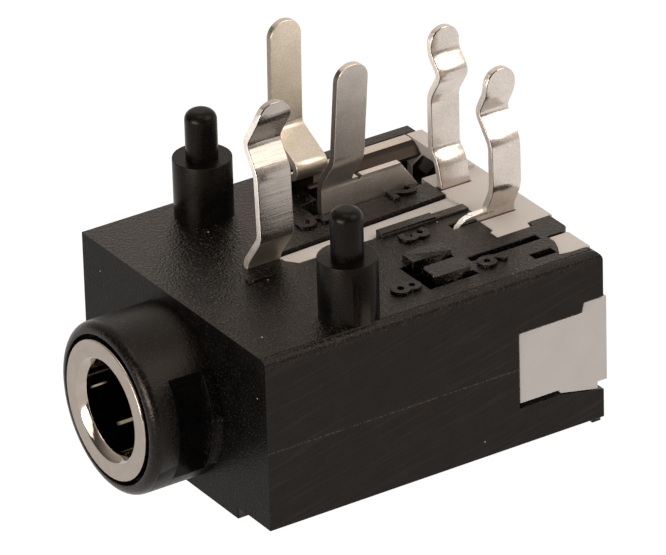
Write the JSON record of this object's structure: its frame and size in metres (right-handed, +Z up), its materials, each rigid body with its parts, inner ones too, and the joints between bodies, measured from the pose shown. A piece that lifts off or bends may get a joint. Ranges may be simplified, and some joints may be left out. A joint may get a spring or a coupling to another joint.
{
  "type": "board-mounted audio jack",
  "caption": "Through-hole audio jack: black slotted housing with a round nose and board pegs, a metal plug bushing, a white contact carrier and kinked solder tails.",
  "frame": {"origin": "on the pad under the housing, in the plane of the plug axis, where the pad meets the plane of the housing's front face", "axes": "+X across the jack, +Y from the plug entry to the rear along the plug axis, +Z up towards the board pegs and the solder tails"},
  "size_m": [0.0128, 0.0183, 0.0148],
  "materials": {
    "housing_plastic": "black glass-filled moulding with a fine eroded grain",
    "carrier_plastic": "off-white moulding, matt",
    "bushing_metal": "nickel-plated turned bushing, fine lathe marks",
    "contact_metal": "tin-plated stamped strip, satin",
    "contact_metal_warm": "plated stamped strip with a faint yellow cast, satin"
  },
  "bodies": {
    "root": {"housing": "housing_plastic", "front_bushing": "bushing_metal", "contact_carrier": "carrier_plastic", "sleeve_contact": "contact_metal", "ring_contact": "contact_metal", "ring_switch_contact": "contact_metal_warm", "tip_contact": "contact_metal", "tip_switch_contact": "contact_metal"}
  },
  "joints": []
}
